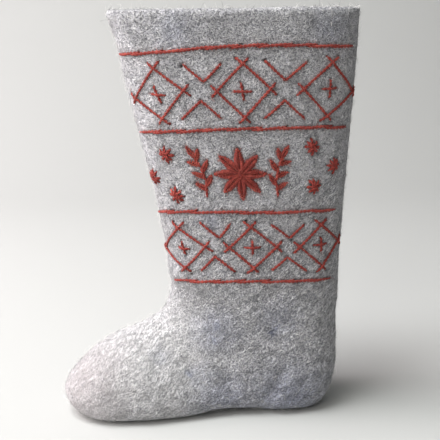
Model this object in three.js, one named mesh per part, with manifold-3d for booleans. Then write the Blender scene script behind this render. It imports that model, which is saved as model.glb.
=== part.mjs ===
// A tall felted wool boot: shaft, foot and sole felted in one piece, a loose felt insole,
// and borders, diamonds, stars and a flower embroidered in thick wool yarn on the outer side.
// Millimetres, +Z up. The origin is on the floor under the middle of the heel, the toe points to -X
// and the embroidered side faces -Y.
import * as THREE from "three";
import { mergeVertices } from "three/addons/utils/BufferGeometryUtils.js";
import Module from "manifold-3d";

const wasm = await Module();
wasm.setup();
const { lerp, clamp, smoothstep } = THREE.MathUtils;

// Foot. Lengths run along X, widths along Y.
const footLength = 269;
const heelCentreToBack = 42;
const heelWidth = 82;
const waistWidth = 75;
const ballWidth = 98;
const instepHeight = 104;
const toeTipHeight = 21;
const archHeight = 5;
const toeSpring = 6;

// Shaft. Lengths run along X, widths along Y.
const bootHeight = 382.5;
const collarDropAtFront = 6.5;
const collarLength = 226.5;
const collarOverhangAtBack = 10.5;
const collarWidth = 84;
const ankleHeight = 140;
const ankleLength = 164;
const ankleWidth = 85;

// Felt.
const shaftWall = 6;
const footWall = 7;
const soleThickness = 11;
const insoleThickness = 4;
const insoleClearance = 1.2;
const insoleLift = 0.5;

// Yarn. The gap is what the stitches keep from the felt.
const borderYarnWidth = 3;
const motifYarnWidth = 2.5;
const yarnHeight = 1.6;
const yarnGap = 0.6;
const crossingLift = 0.3;
const stitchStep = 8;

const backX = heelCentreToBack;
const toeX = heelCentreToBack - footLength;
const ankleBackX = backX - 1;
const ankleFrontX = ankleBackX - ankleLength;
const collarBackX = ankleBackX + collarOverhangAtBack;
const collarFrontX = collarBackX - collarLength;

// Sections of the shaft, collar first. rise: 0 at the ankle, 1 at the collar. frontFlare and
// backFlare: 0 on the ankle's line, 1 on the collar's. widest: where the section is widest, from
// its front. frontRound and backRound: 2 is an ellipse, more is squarer.
const shaftRows = [
  { rise: 1, frontFlare: 1, backFlare: 1, widest: 0.5, frontRound: 2.35, backRound: 2.35 },
  { rise: 0.935, frontFlare: 0.86, backFlare: 0.96, widest: 0.5, frontRound: 2.35, backRound: 2.35 },
  { rise: 0.79, frontFlare: 0.72, backFlare: 0.87, widest: 0.5, frontRound: 2.35, backRound: 2.35 },
  { rise: 0.65, frontFlare: 0.57, backFlare: 0.7, widest: 0.5, frontRound: 2.35, backRound: 2.35 },
  { rise: 0.5, frontFlare: 0.41, backFlare: 0.5, widest: 0.51, frontRound: 2.35, backRound: 2.3 },
  { rise: 0.36, frontFlare: 0.25, backFlare: 0.33, widest: 0.52, frontRound: 2.35, backRound: 2.3 },
  { rise: 0.22, frontFlare: 0.13, backFlare: 0.2, widest: 0.53, frontRound: 2.35, backRound: 2.3 },
  { rise: 0.1, frontFlare: 0.03, backFlare: 0.08, widest: 0.55, frontRound: 2.35, backRound: 2.25 },
];

// Sections of the foot, fanning from the ankle round the heel to the toe. topX and soleX: shares
// of the foot's length from the back of the heel. topZ and soleZ: shares of the instep height, the
// second above the sole's own line. width: share of the size in widthOf. inset: share of the wall
// that narrows the hollow, less where the sections shrink towards the toe.
const footRows = [
  { topX: 0.6115, topZ: 1.14, soleX: 0.004, soleZ: 0.92, width: 1, widthOf: ankleWidth,
    widest: 0.66, frontRound: 2.4, backRound: 2.15, inset: 1 },
  { topX: 0.621, topZ: 1.045, soleX: 0.002, soleZ: 0.58, width: 1.02, widthOf: heelWidth,
    widest: 0.72, frontRound: 2.4, backRound: 2.1, inset: 1 },
  { topX: 0.634, topZ: 0.985, soleX: 0.001, soleZ: 0.34, width: 1.01, widthOf: heelWidth,
    widest: 0.74, frontRound: 2.35, backRound: 2.05, inset: 1 },
  { topX: 0.648, topZ: 0.945, soleX: 0.018, soleZ: 0.14, width: 1, widthOf: heelWidth,
    widest: 0.74, frontRound: 2.3, backRound: 2.05, inset: 1 },
  { topX: 0.662, topZ: 0.92, soleX: 0.066, soleZ: 0.015, width: 0.99, widthOf: heelWidth,
    widest: 0.73, frontRound: 2.25, backRound: 2.25, inset: 1 },
  { topX: 0.677, topZ: 0.893, soleX: 0.134, soleZ: 0, width: 0.975, widthOf: heelWidth,
    widest: 0.72, frontRound: 2.2, backRound: 2.7, inset: 1 },
  { topX: 0.694, topZ: 0.867, soleX: 0.222, soleZ: 0, width: 1.02, widthOf: waistWidth,
    widest: 0.7, frontRound: 2.15, backRound: 3, inset: 1 },
  { topX: 0.716, topZ: 0.833, soleX: 0.333, soleZ: 0, width: 1, widthOf: waistWidth,
    widest: 0.68, frontRound: 2.1, backRound: 3, inset: 1 },
  { topX: 0.745, topZ: 0.792, soleX: 0.445, soleZ: 0, width: 0.84, widthOf: ballWidth,
    widest: 0.66, frontRound: 2.1, backRound: 3.2, inset: 1 },
  { topX: 0.783, topZ: 0.739, soleX: 0.55, soleZ: 0, width: 0.94, widthOf: ballWidth,
    widest: 0.64, frontRound: 2.1, backRound: 3.5, inset: 1 },
  { topX: 0.828, topZ: 0.672, soleX: 0.65, soleZ: 0, width: 0.99, widthOf: ballWidth,
    widest: 0.62, frontRound: 2.1, backRound: 3.4, inset: 1 },
  { topX: 0.873, topZ: 0.596, soleX: 0.742, soleZ: 0, width: 0.997, widthOf: ballWidth,
    widest: 0.61, frontRound: 2.1, backRound: 3.2, inset: 1 },
  { topX: 0.917, topZ: 0.505, soleX: 0.832, soleZ: 0, width: 0.93, widthOf: ballWidth,
    widest: 0.6, frontRound: 2.1, backRound: 2.9, inset: 0.94 },
  { topX: 0.955, topZ: 0.405, soleX: 0.908, soleZ: 0.01, width: 0.77, widthOf: ballWidth,
    widest: 0.58, frontRound: 2.1, backRound: 2.6, inset: 0.82 },
  { topX: 0.982, topZ: 0.307, soleX: 0.959, soleZ: 0.045, width: 0.54, widthOf: ballWidth,
    widest: 0.55, frontRound: 2.1, backRound: 2.35, inset: 0.6 },
  { topX: 0.996, topZ: 0.24, soleX: 0.988, soleZ: 0.11, width: 0.27, widthOf: ballWidth,
    widest: 0.52, frontRound: 2.05, backRound: 2.15, inset: 0.3 },
];

// The sole's line above the floor: level under heel and forefoot, arched between them and sprung
// at the toe. The shares run along the foot from the back of the heel.
const archStart = 0.25;
const archEnd = 0.57;
const springStart = 0.83;

function soleLevel(x) {
  const along = (backX - x) / footLength;
  if (along > archStart && along < archEnd) {
    return archHeight * Math.sin((Math.PI * (along - archStart)) / (archEnd - archStart)) ** 2;
  }
  if (along > springStart) return toeSpring * ((along - springStart) / (1 - springStart)) ** 2;
  return 0;
}

// How far the rounded sections dip under the sole's line, which then cuts them flat.
const soleCut = 3;

function shaftSection(row) {
  const frontTop = bootHeight - collarDropAtFront;
  const frontX = lerp(ankleFrontX, collarFrontX, row.frontFlare);
  const rearX = lerp(ankleBackX, collarBackX, row.backFlare);
  return {
    front: [frontX, lerp(ankleHeight, frontTop, row.rise)],
    back: [rearX, lerp(ankleHeight, bootHeight, row.rise)],
    halfWidth: lerp(ankleWidth, collarWidth, row.rise) / 2,
    wall: shaftWall,
    inset: 1,
    ...row,
  };
}

const ankleSection = {
  front: [ankleFrontX, ankleHeight],
  back: [ankleBackX, ankleHeight],
  halfWidth: ankleWidth / 2,
  wall: shaftWall,
  widest: 0.58,
  frontRound: 2.35,
  backRound: 2.2,
  inset: 1,
};

function footSection(row, index) {
  const soleX = backX - row.soleX * footLength;
  return {
    front: [backX - row.topX * footLength, row.topZ * instepHeight],
    back: [soleX, row.soleZ * instepHeight + soleLevel(soleX)],
    halfWidth: (row.width * row.widthOf) / 2,
    wall: lerp(shaftWall, footWall, Math.min(1, (index + 1) / 3)),
    ...row,
  };
}

const toeTip = {
  front: [toeX, toeTipHeight],
  back: [toeX, toeTipHeight],
  halfWidth: 0,
  wall: footWall,
  widest: 0.5,
  frontRound: 2,
  backRound: 2,
  inset: 0,
};

const shaft = shaftRows.map(shaftSection);
const foot = footRows.map(footSection);
const sections = [...shaft, ankleSection, ...foot, toeTip];
const lastRow = sections.length - 1;
const ankleRow = shaftRows.length;
const soleRow = ankleRow + 4;

// Smooth lines through the sections, so that any row number between two of them has a section.
function lineThrough(pick, type) {
  const points = sections.map((section) => new THREE.Vector3(...pick(section)));
  return new THREE.CatmullRomCurve3(points, false, type);
}

const frontLine = lineThrough((s) => [s.front[0], 0, s.front[1]], "centripetal");
const backLine = lineThrough((s) => [s.back[0], 0, s.back[1]], "centripetal");
const widthLine = lineThrough((s) => [s.halfWidth, s.widest, s.wall], "catmullrom");
const roundLine = lineThrough((s) => [s.frontRound, s.backRound, s.inset], "catmullrom");

// The direction into the felt, square to the front line (side 1) or the back line (side -1).
function inward(line, t, side) {
  const tangent = line.getTangent(clamp(t, 0.001, 0.998));
  return new THREE.Vector3(-side * tangent.z, 0, side * tangent.x);
}

// The section at a row number. With a clearance it is one of the hollow's sections, that far
// clear of the felt's inner face; with null it is the outer face's.
function sectionAt(row, clearance) {
  const t = row / lastRow;
  const front = frontLine.getPoint(t);
  const back = backLine.getPoint(t);
  const [halfWidth, widest, wall] = widthLine.getPoint(t).toArray();
  const [frontRound, backRound, inset] = roundLine.getPoint(t).toArray();
  let half = Math.max(0, halfWidth);
  if (clearance !== null) {
    const towardsSole = inward(backLine, t, -1);
    const isSole = row > ankleRow ? smoothstep(towardsSole.z, 0.3, 0.95) : 0;
    front.addScaledVector(inward(frontLine, t, 1), wall + clearance);
    back.addScaledVector(towardsSole, lerp(wall, soleThickness, isSole) + clearance);
    half = Math.max(0, half - (wall + clearance) * clamp(inset, 0, 1));
  }
  const fade = smoothstep(row, soleRow, soleRow + 1);
  const ease = 1 - smoothstep(row, lastRow - 3, lastRow - 1);
  back.z -= soleCut * fade * ease;
  return { front, back, half, widest, frontRound, backRound };
}

// A point of a section, by its angle from the front (0) over the embroidered side to the back (PI).
function outline(section, angle) {
  const { front, back, half, widest, frontRound, backRound } = section;
  const cosine = Math.cos(angle);
  const sine = Math.sin(angle);
  const power = 2 / (cosine > 0 ? frontRound : backRound);
  const reach = Math.abs(cosine) ** power;
  const along = cosine > 0 ? widest * (1 - reach) : widest + (1 - widest) * reach;
  const point = front.clone().lerp(back, along);
  point.y = -Math.sign(sine) * half * Math.abs(sine) ** power;
  return point;
}

function skinPoint(row, angle, clearance) {
  const point = outline(sectionAt(row, clearance), angle);
  const floor = soleLevel(point.x) + (clearance === null ? 0 : soleThickness);
  if (row > ankleRow) point.z = Math.max(point.z, floor);
  return point;
}

// Felt body: an outer skin and a hollow's skin, joined across the collar's cut edge. The hollow
// ends one row short of the toe's tip.
const pointsAround = 34;
const outerSkin = { clearance: null, endRow: lastRow, ringsPerRow: 2, facesOut: true };
const hollowSkin = { clearance: 0, endRow: lastRow - 1, ringsPerRow: 1, facesOut: false };

function addTriangle(mesh, a, b, c) {
  if (a !== b && b !== c && c !== a) mesh.triangles.push(a, b, c);
}

// Adds rings of points from the collar to a last point in the toe, and the faces between them.
function addSkin(mesh, { clearance, endRow, ringsPerRow, facesOut }) {
  const start = mesh.points.length;
  const rings = endRow * ringsPerRow;
  for (let ring = 0; ring < rings; ring++) {
    for (let k = 0; k < pointsAround; k++) {
      mesh.points.push(skinPoint(ring / ringsPerRow, (2 * Math.PI * k) / pointsAround, clearance));
    }
  }
  const pole = mesh.points.length;
  const { front, back } = sectionAt(endRow, clearance);
  mesh.points.push(front.clone().lerp(back, 0.5));
  const at = (ring, k) => (ring === rings ? pole : start + ring * pointsAround + (k % pointsAround));
  for (let ring = 0; ring < rings; ring++) {
    for (let k = 0; k < pointsAround; k++) {
      const [left, right] = facesOut ? [k, k + 1] : [k + 1, k];
      addTriangle(mesh, at(ring, left), at(ring + 1, left), at(ring + 1, right));
      addTriangle(mesh, at(ring, left), at(ring + 1, right), at(ring, right));
    }
  }
  return start;
}

function geometryFrom(points, triangles) {
  const geometry = new THREE.BufferGeometry();
  const numbers = points.flatMap((point) => point.toArray());
  geometry.setAttribute("position", new THREE.Float32BufferAttribute(numbers, 3));
  geometry.setIndex(triangles);
  return geometry;
}

function feltBody() {
  const mesh = { points: [], triangles: [] };
  const outer = addSkin(mesh, outerSkin);
  const inner = addSkin(mesh, hollowSkin);
  for (let k = 0; k < pointsAround; k++) {
    const next = (k + 1) % pointsAround;
    addTriangle(mesh, outer + next, inner + next, inner + k);
    addTriangle(mesh, outer + next, inner + k, outer + k);
  }
  return geometryFrom(mesh.points, mesh.triangles);
}

function solidOf(geometry) {
  const bare = geometry.clone();
  bare.deleteAttribute("normal");
  bare.deleteAttribute("uv");
  const merged = mergeVertices(bare, 1e-4);
  return new wasm.Manifold(
    new wasm.Mesh({
      numProp: 3,
      vertProperties: merged.attributes.position.array,
      triVerts: new Uint32Array(merged.index.array),
    }),
  );
}

function geometryOf(solid) {
  const mesh = solid.getMesh();
  const geometry = new THREE.BufferGeometry();
  geometry.setAttribute("position", new THREE.BufferAttribute(mesh.vertProperties, 3));
  geometry.setIndex(new THREE.BufferAttribute(mesh.triVerts, 1));
  return geometry;
}

function joined(geometries) {
  return geometryOf(geometries.map(solidOf).reduce((sum, next) => sum.add(next)));
}

// Insole: a felt sheet that lies on the hollow's floor, cut to the hollow's own outline.
function insole() {
  const hollow = { points: [], triangles: [] };
  const start = addSkin(hollow, { ...hollowSkin, clearance: insoleClearance, facesOut: true });
  for (let k = 1; k < pointsAround - 1; k++) addTriangle(hollow, start, start + k, start + k + 1);
  const filling = geometryFrom(hollow.points, hollow.triangles).translate(0, 0, insoleLift);
  const stations = 20;
  const top = [];
  for (let i = 0; i <= stations; i++) {
    const x = lerp(backX, toeX, i / stations);
    top.push(new THREE.Vector2(x, soleLevel(x) + soleThickness + insoleLift + insoleThickness));
  }
  const sheetWidth = 2 * ballWidth;
  const profile = new THREE.Shape([new THREE.Vector2(toeX, 0), new THREE.Vector2(backX, 0), ...top]);
  const sheet = new THREE.ExtrudeGeometry(profile, { depth: sheetWidth, bevelEnabled: false });
  sheet.rotateX(Math.PI / 2);
  sheet.translate(0, sheetWidth / 2, 0);
  return geometryOf(solidOf(filling).intersect(solidOf(sheet)));
}

// The embroidered side is charted by a share round the leg (0 down the front, 1 down the back,
// measured along the felt) and a height.
const chartSteps = 32;

function ringPoint(row, round) {
  const section = sectionAt(row, null);
  const points = [];
  const lengths = [0];
  for (let i = 0; i <= chartSteps; i++) {
    points.push(outline(section, (Math.PI * i) / chartSteps));
    if (i > 0) lengths.push(lengths[i - 1] + points[i].distanceTo(points[i - 1]));
  }
  const target = clamp(round, 0, 1) * lengths[chartSteps];
  const after = clamp(lengths.findIndex((length) => length > target), 1, chartSteps);
  const share = (target - lengths[after - 1]) / (lengths[after] - lengths[after - 1]);
  const angle = (Math.PI * (after - 1 + share)) / chartSteps;
  return { point: outline(section, angle), legLength: lengths[chartSteps] };
}

function onLeg(round, height) {
  let above = 0;
  let below = soleRow;
  for (let i = 0; i < 16; i++) {
    const middle = (above + below) / 2;
    if (ringPoint(middle, round).point.z > height) above = middle;
    else below = middle;
  }
  return ringPoint((above + below) / 2, round);
}

// A place on the felt with the direction out of it, found from its neighbours a small step away.
function place(round, height) {
  const step = 2;
  const { point, legLength } = onLeg(round, height);
  const share = step / legLength;
  const roundLeg = onLeg(round + share, height).point.sub(onLeg(round - share, height).point);
  const upLeg = onLeg(round, height + step).point.sub(onLeg(round, height - step).point);
  return { point, out: new THREE.Vector3().crossVectors(roundLeg, upLeg).normalize() };
}

// Section of a yarn, flat on the felt: share of its width to each side, share of its height.
const yarnSection = [
  { side: -0.5, lift: 0 },
  { side: 0.5, lift: 0 },
  { side: 0, lift: 1 },
];

// Yarn laid along chart points [round, height]. taper: share of its width left at both ends.
// level: how many crossed yarns it lies over.
function yarn(chartPoints, width, { taper = 0.6, level = 0 } = {}) {
  const places = chartPoints.map(([round, height]) => place(round, height));
  const points = [];
  const triangles = [];
  const count = yarnSection.length;
  places.forEach(({ point, out }, i) => {
    const before = places[Math.max(0, i - 1)].point;
    const after = places[Math.min(places.length - 1, i + 1)].point;
    const forward = after.clone().sub(before).normalize();
    const across = new THREE.Vector3().crossVectors(out, forward).normalize();
    const fromEnd = Math.sin((Math.PI * i) / (places.length - 1)) ** 0.5;
    const size = lerp(taper, 1, i === 0 || i === places.length - 1 ? 0 : fromEnd);
    for (const { side, lift } of yarnSection) {
      const offset = yarnGap + level * crossingLift + lift * yarnHeight * size;
      points.push(point.clone().addScaledVector(across, side * width * size).addScaledVector(out, offset));
    }
  });
  for (let i = 0; i < places.length - 1; i++) {
    for (let k = 0; k < count; k++) {
      const a = i * count + k;
      const b = i * count + ((k + 1) % count);
      triangles.push(a, b, a + count, b, b + count, a + count);
    }
  }
  const end = (places.length - 1) * count;
  for (let k = 1; k < count - 1; k++) {
    triangles.push(0, k + 1, k);
    triangles.push(end, end + k, end + k + 1);
  }
  return geometryFrom(points, triangles);
}

// Chart points from one place to another, close enough to follow the leg's curve.
function run(from, to, legLength) {
  const length = Math.hypot((to[0] - from[0]) * legLength, to[1] - from[1]);
  const steps = Math.max(3, Math.ceil(length / stitchStep));
  const points = [];
  for (let i = 0; i <= steps; i++) {
    points.push([lerp(from[0], to[0], i / steps), lerp(from[1], to[1], i / steps)]);
  }
  return points;
}

const boot = new THREE.Group();

function add(name, geometry, material) {
  const mesh = new THREE.Mesh(geometry, material);
  mesh.name = name;
  boot.add(mesh);
}

const greyFelt = new THREE.MeshStandardMaterial({ color: 0xa9a7ab, roughness: 0.97, metalness: 0 });
const insoleFelt = new THREE.MeshStandardMaterial({ color: 0xc9c4ba, roughness: 0.97, metalness: 0 });
const redYarn = new THREE.MeshStandardMaterial({ color: 0xb4483a, roughness: 0.85, metalness: 0 });

add("felted_upper_and_sole", feltBody(), greyFelt);
add("insole", insole(), insoleFelt);

// Border lines: four yarns round the outer side, from one share round the leg to another. Heights
// are shares of the boot's height, evenly spaced along the line.
const borderRows = [
  { name: "border_collar", start: 0.02, end: 0.922, heights: [0.898, 0.909, 0.919, 0.92, 0.916] },
  { name: "border_calf", start: 0.055, end: 0.908, heights: [0.721, 0.731, 0.735, 0.736, 0.73] },
  { name: "border_shin", start: 0.02, end: 0.868, heights: [0.522, 0.54, 0.539, 0.537, 0.531] },
  { name: "border_ankle", start: 0.075, end: 0.858, heights: [0.356, 0.368, 0.368, 0.365, 0.356] },
];

for (const { name, start, end, heights } of borderRows) {
  const marks = heights.map((height, i) => {
    return new THREE.Vector2(lerp(start, end, i / (heights.length - 1)), height * bootHeight);
  });
  const { legLength } = onLeg(0.5, marks[2].y);
  const steps = Math.ceil(((end - start) * legLength) / stitchStep);
  const points = new THREE.SplineCurve(marks).getPoints(steps).map((point) => point.toArray());
  add(name, yarn(points, borderYarnWidth), redYarn);
}

// Bands between the border lines: where each starts and how high it is, as shares of the boot's
// height. Places in a band are a share round the leg and a share of the way up the band.
const bands = {
  upper: { low: 0.735 * bootHeight, size: 0.185 * bootHeight },
  lower: { low: 0.368 * bootHeight, size: 0.171 * bootHeight },
};

function inBand(band, [round, level]) {
  return [round, bands[band].low + level * bands[band].size];
}

// Chart points of a yarn sewn straight from one corner to the next and a little past both.
const pastCorner = 6.5;
const nearestToFront = 0.006;

function crossing(from, to, past) {
  const { legLength } = onLeg((from[0] + to[0]) / 2, (from[1] + to[1]) / 2);
  const share = past / Math.hypot((to[0] - from[0]) * legLength, to[1] - from[1]);
  const end = (a, b) => [Math.max(lerp(a[0], b[0], 1 + share), nearestToFront), lerp(a[1], b[1], 1 + share)];
  return run(end(to, from), end(from, to), legLength);
}

// Diamonds: each of four yarns that cross at its corners, with a plus mark inside.
const diamondRows = [
  { band: "upper", top: [0.182, 0.775], back: [0.283, 0.469], bottom: [0.183, 0.11],
    front: [0.075, 0.373], plus: [0.178, 0.405] },
  { band: "upper", top: [0.497, 0.81], back: [0.59, 0.486], bottom: [0.484, 0.119],
    front: [0.39, 0.448], plus: [0.482, 0.458] },
  { band: "upper", top: [0.818, 0.793], back: [0.925, 0.421], bottom: [0.8, 0.135],
    front: [0.704, 0.484], plus: [0.813, 0.466] },
  { band: "lower", top: [0.155, 0.746], back: [0.272, 0.495], bottom: [0.16, 0.127],
    front: [0.026, 0.388], plus: [0.16, 0.435] },
  { band: "lower", top: [0.47, 0.787], back: [0.58, 0.483], bottom: [0.472, 0.18],
    front: [0.362, 0.492], plus: [0.473, 0.492] },
  { band: "lower", top: [0.787, 0.765], back: [0.9, 0.476], bottom: [0.8, 0.115],
    front: [0.672, 0.478], plus: [0.784, 0.467] },
];
const diamondSides = [
  { from: "front", to: "top", level: 0 },
  { from: "top", to: "back", level: 1 },
  { from: "front", to: "bottom", level: 1 },
  { from: "bottom", to: "back", level: 2 },
];

diamondRows.forEach((row, i) => {
  const sides = diamondSides.map(({ from, to, level }) => {
    const points = crossing(inBand(row.band, row[from]), inBand(row.band, row[to]), pastCorner);
    return yarn(points, motifYarnWidth, { level });
  });
  add(`${row.band}_diamond_${(i % 3) + 1}`, joined(sides), redYarn);
});

// Motifs are drawn round a centre: side is towards the back and up is up the leg, both as shares
// of the size that the motif is given. Gives what lays a yarn from one such point to another.
function motifPen(round, height, size, way = 1) {
  const { legLength } = onLeg(round, height);
  const at = ([side, up]) => [round + (way * side * size) / legLength, height + up * size];
  return {
    stroke: ({ from, to, level }, width, taper) =>
      yarn(run(at(from), at(to), legLength), width, { taper, level }),
    line: (points, width, taper) => yarn(points.map(at), width, { taper }),
  };
}

function motif(name, round, height, size, strokes) {
  const pen = motifPen(round, height, size);
  add(name, joined(strokes.map((stroke) => pen.stroke(stroke, motifYarnWidth))), redYarn);
}

// Plus marks. Their strokes are shares of the band's height.
const plusStrokes = [
  { from: [0, -0.1], to: [0, 0.1], level: 0 },
  { from: [-0.105, 0], to: [0.105, 0], level: 1 },
];
diamondRows.forEach((row, i) => {
  const [round, height] = inBand(row.band, row.plus);
  motif(`${row.band}_plus_${(i % 3) + 1}`, round, height, bands[row.band].size, plusStrokes);
});

// Chevrons between the diamonds: two yarns that meet at a point.
const chevronRows = [
  { name: "hanging_chevron_1", band: "upper", front: [0.287, 0.778],
    point: [0.351, 0.581], back: [0.415, 0.785] },
  { name: "hanging_chevron_2", band: "upper", front: [0.571, 0.824],
    point: [0.644, 0.581], back: [0.719, 0.802] },
  { name: "standing_chevron_1", band: "upper", front: [0.253, 0.11],
    point: [0.334, 0.339], back: [0.399, 0.132] },
  { name: "standing_chevron_2", band: "upper", front: [0.557, 0.122],
    point: [0.632, 0.338], back: [0.709, 0.114] },
  { name: "hanging_chevron_1", band: "lower", front: [0.256, 0.843],
    point: [0.335, 0.639], back: [0.383, 0.815] },
  { name: "hanging_chevron_2", band: "lower", front: [0.559, 0.806],
    point: [0.635, 0.609], back: [0.702, 0.78] },
  { name: "standing_chevron_1", band: "lower", front: [0.231, 0.125],
    point: [0.3, 0.343], back: [0.391, 0.133] },
  { name: "standing_chevron_2", band: "lower", front: [0.552, 0.153],
    point: [0.628, 0.332], back: [0.715, 0.099] },
];
const pastPoint = 0.5;

for (const row of chevronRows) {
  const [front, point, back] = [row.front, row.point, row.back].map((mark) => inBand(row.band, mark));
  const legs = [
    yarn(crossing(front, point, pastPoint), motifYarnWidth, { level: 0 }),
    yarn(crossing(back, point, pastPoint), motifYarnWidth, { level: 1 }),
  ];
  add(`${row.band}_${row.name}`, joined(legs), redYarn);
}

// Six small stars between the bands, each of four crossed stitches. Heights are shares of the boot's.
const starReach = 7.2;
const diagonal = Math.SQRT1_2;
const starStrokes = [
  { from: [-1, 0], to: [1, 0], level: 0 },
  { from: [0, -1], to: [0, 1], level: 1 },
  { from: [-diagonal, -diagonal], to: [diagonal, diagonal], level: 2 },
  { from: [-diagonal, diagonal], to: [diagonal, -diagonal], level: 3 },
];
const starPlaces = [
  { round: 0.162, height: 0.673 },
  { round: 0.073, height: 0.614 },
  { round: 0.173, height: 0.576 },
  { round: 0.739, height: 0.689 },
  { round: 0.84, height: 0.64 },
  { round: 0.746, height: 0.595 },
];
starPlaces.forEach(({ round, height }, i) => {
  motif(`star_${i + 1}`, round, height * bootHeight, starReach, starStrokes);
});

// Flower between the bands: eight pointed petals round a button. Widths are shares of its radius.
const flowerRadius = 24;
const flower = { round: 0.446, height: 0.63 };
const petals = 8;
const petalWidth = 0.37;
const petalStart = 0.12;
const buttonReach = 0.18;

function flowerStitches() {
  const pen = motifPen(flower.round, flower.height * bootHeight, flowerRadius);
  const width = petalWidth * flowerRadius;
  const stitches = [pen.stroke({ from: [-buttonReach, 0], to: [buttonReach, 0], level: 1 }, width)];
  for (let i = 0; i < petals; i++) {
    const angle = (2 * Math.PI * i) / petals;
    const tip = [Math.cos(angle), Math.sin(angle)];
    const root = tip.map((value) => value * petalStart);
    stitches.push(pen.stroke({ from: root, to: tip, level: 0 }, width, 0.25));
  }
  return joined(stitches);
}

add("flower", flowerStitches(), redYarn);

// Sprigs: a stem with paired leaves and one at its tip, in shares of the flower's radius from the
// flower's centre.
const sprigStem = [[1.35, -0.9], [1.3, -0.3], [1.42, 0.25], [1.62, 0.68]];
const sprigLeaves = [
  { from: [1.32, -0.58], to: [1.72, -0.36], level: 1 },
  { from: [1.3, -0.42], to: [1.06, -0.02], level: 1 },
  { from: [1.33, -0.12], to: [1.78, 0.05], level: 1 },
  { from: [1.37, 0.1], to: [1.14, 0.52], level: 1 },
  { from: [1.47, 0.34], to: [1.9, 0.44], level: 1 },
  { from: [1.56, 0.5], to: [1.42, 0.94], level: 1 },
  { from: [1.6, 0.62], to: [1.84, 1.02], level: 1 },
];
const leafWidth = 0.22;

function sprigStitches(way) {
  const pen = motifPen(flower.round, flower.height * bootHeight, flowerRadius, way);
  const width = leafWidth * flowerRadius;
  const leaves = sprigLeaves.map((leaf) => pen.stroke(leaf, width, 0.3));
  return joined([pen.line(sprigStem, motifYarnWidth, 0.8), ...leaves]);
}

add("front_sprig", sprigStitches(-1), redYarn);
add("back_sprig", sprigStitches(1), redYarn);

export default boot;
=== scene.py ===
import math
import bpy
import numpy as np
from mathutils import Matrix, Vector, noise
from mathutils.bvhtree import BVHTree
from mathutils.kdtree import KDTree


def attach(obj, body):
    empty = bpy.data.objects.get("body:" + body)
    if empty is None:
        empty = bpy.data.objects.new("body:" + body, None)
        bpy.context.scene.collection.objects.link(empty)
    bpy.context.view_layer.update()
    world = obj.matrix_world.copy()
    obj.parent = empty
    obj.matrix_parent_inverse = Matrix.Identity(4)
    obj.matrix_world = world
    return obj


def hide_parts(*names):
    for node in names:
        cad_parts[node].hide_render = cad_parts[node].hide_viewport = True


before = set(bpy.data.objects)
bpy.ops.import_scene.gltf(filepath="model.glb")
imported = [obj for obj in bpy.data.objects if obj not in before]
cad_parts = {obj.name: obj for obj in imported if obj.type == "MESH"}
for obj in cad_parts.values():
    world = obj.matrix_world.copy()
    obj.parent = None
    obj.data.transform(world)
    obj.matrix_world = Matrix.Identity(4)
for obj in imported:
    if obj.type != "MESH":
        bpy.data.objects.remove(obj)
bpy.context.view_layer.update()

# Camera
# The boot is seen on its embroidered side from the height of its collar, a little from the toe,
# as a phone held at arm's length sees it.
camera_place = (-0.1368, -0.7222, 0.385)
camera_turn = math.radians(5)
camera_tilt = math.radians(15.2)
bpy.ops.object.select_all(action="DESELECT")
bpy.ops.object.camera_add(location=camera_place, rotation=(math.pi / 2 - camera_tilt, 0, -camera_turn))
camera = bpy.context.object
camera.data.lens = 64.6
camera.data.sensor_width = 36
camera.data.clip_start = 0.01
bpy.context.scene.camera = camera

# Studio
# A sheet of pale paper lies on the floor and curves up behind the boot. A broad window stands on the
# toe's side, and the pale walls of the room throw its light back.
floor_size = 6.0
wall_distance = 1.7
wall_height = 2.5
wall_margin = 0.01
cove_radius = 0.85
paper_colour = (0.52, 0.525, 0.51, 1)
room_colour = (0.95, 0.98, 1.0, 1)
room_strength = 0.16
sheen_roughness = 0.6
bpy.context.scene.view_settings.view_transform = "Standard"
bpy.context.scene.view_settings.look = "None"


def new_material(name, roughness, sheen=0.0, specular=0.5):
    """A new material and its shader."""
    material = bpy.data.materials.new(name)
    material.use_nodes = True
    shader = material.node_tree.nodes["Principled BSDF"]
    shader.inputs["Roughness"].default_value = roughness
    shader.inputs["Sheen Weight"].default_value = sheen
    shader.inputs["Sheen Roughness"].default_value = sheen_roughness
    shader.inputs["Specular IOR Level"].default_value = specular
    return material, shader


bpy.ops.mesh.primitive_plane_add(size=floor_size, location=(0, wall_distance - floor_size / 2, 0))
backdrop = bpy.context.object
backdrop.name = "floor_and_wall"
bpy.ops.object.transform_apply(location=True)
bpy.ops.object.mode_set(mode="EDIT")
bpy.ops.mesh.select_mode(type="EDGE")
bpy.ops.mesh.select_all(action="DESELECT")
bpy.ops.object.mode_set(mode="OBJECT")
for edge in backdrop.data.edges:
    ends = [backdrop.data.vertices[i].co for i in edge.vertices]
    edge.select = all(end.y > wall_distance - wall_margin for end in ends)
bpy.ops.object.mode_set(mode="EDIT")
bpy.ops.mesh.extrude_region_move(TRANSFORM_OT_translate={"value": (0, 0, wall_height)})
bpy.ops.mesh.select_all(action="DESELECT")
bpy.ops.object.mode_set(mode="OBJECT")
for edge in backdrop.data.edges:
    ends = [backdrop.data.vertices[i].co for i in edge.vertices]
    edge.select = all(end.y > wall_distance - wall_margin and end.z < wall_margin for end in ends)
bpy.ops.object.mode_set(mode="EDIT")
bpy.ops.mesh.bevel(offset=cove_radius, segments=24)
bpy.ops.object.mode_set(mode="OBJECT")
bpy.ops.object.shade_smooth()
backdrop_material, backdrop_shader = new_material("pale_paper", roughness=0.9)
backdrop_shader.inputs["Base Color"].default_value = paper_colour
backdrop.data.materials.append(backdrop_material)

world = bpy.data.worlds.new("pale_walls")
world.use_nodes = True
world.node_tree.nodes["Background"].inputs["Color"].default_value = room_colour
world.node_tree.nodes["Background"].inputs["Strength"].default_value = room_strength
bpy.context.scene.world = world

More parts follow.
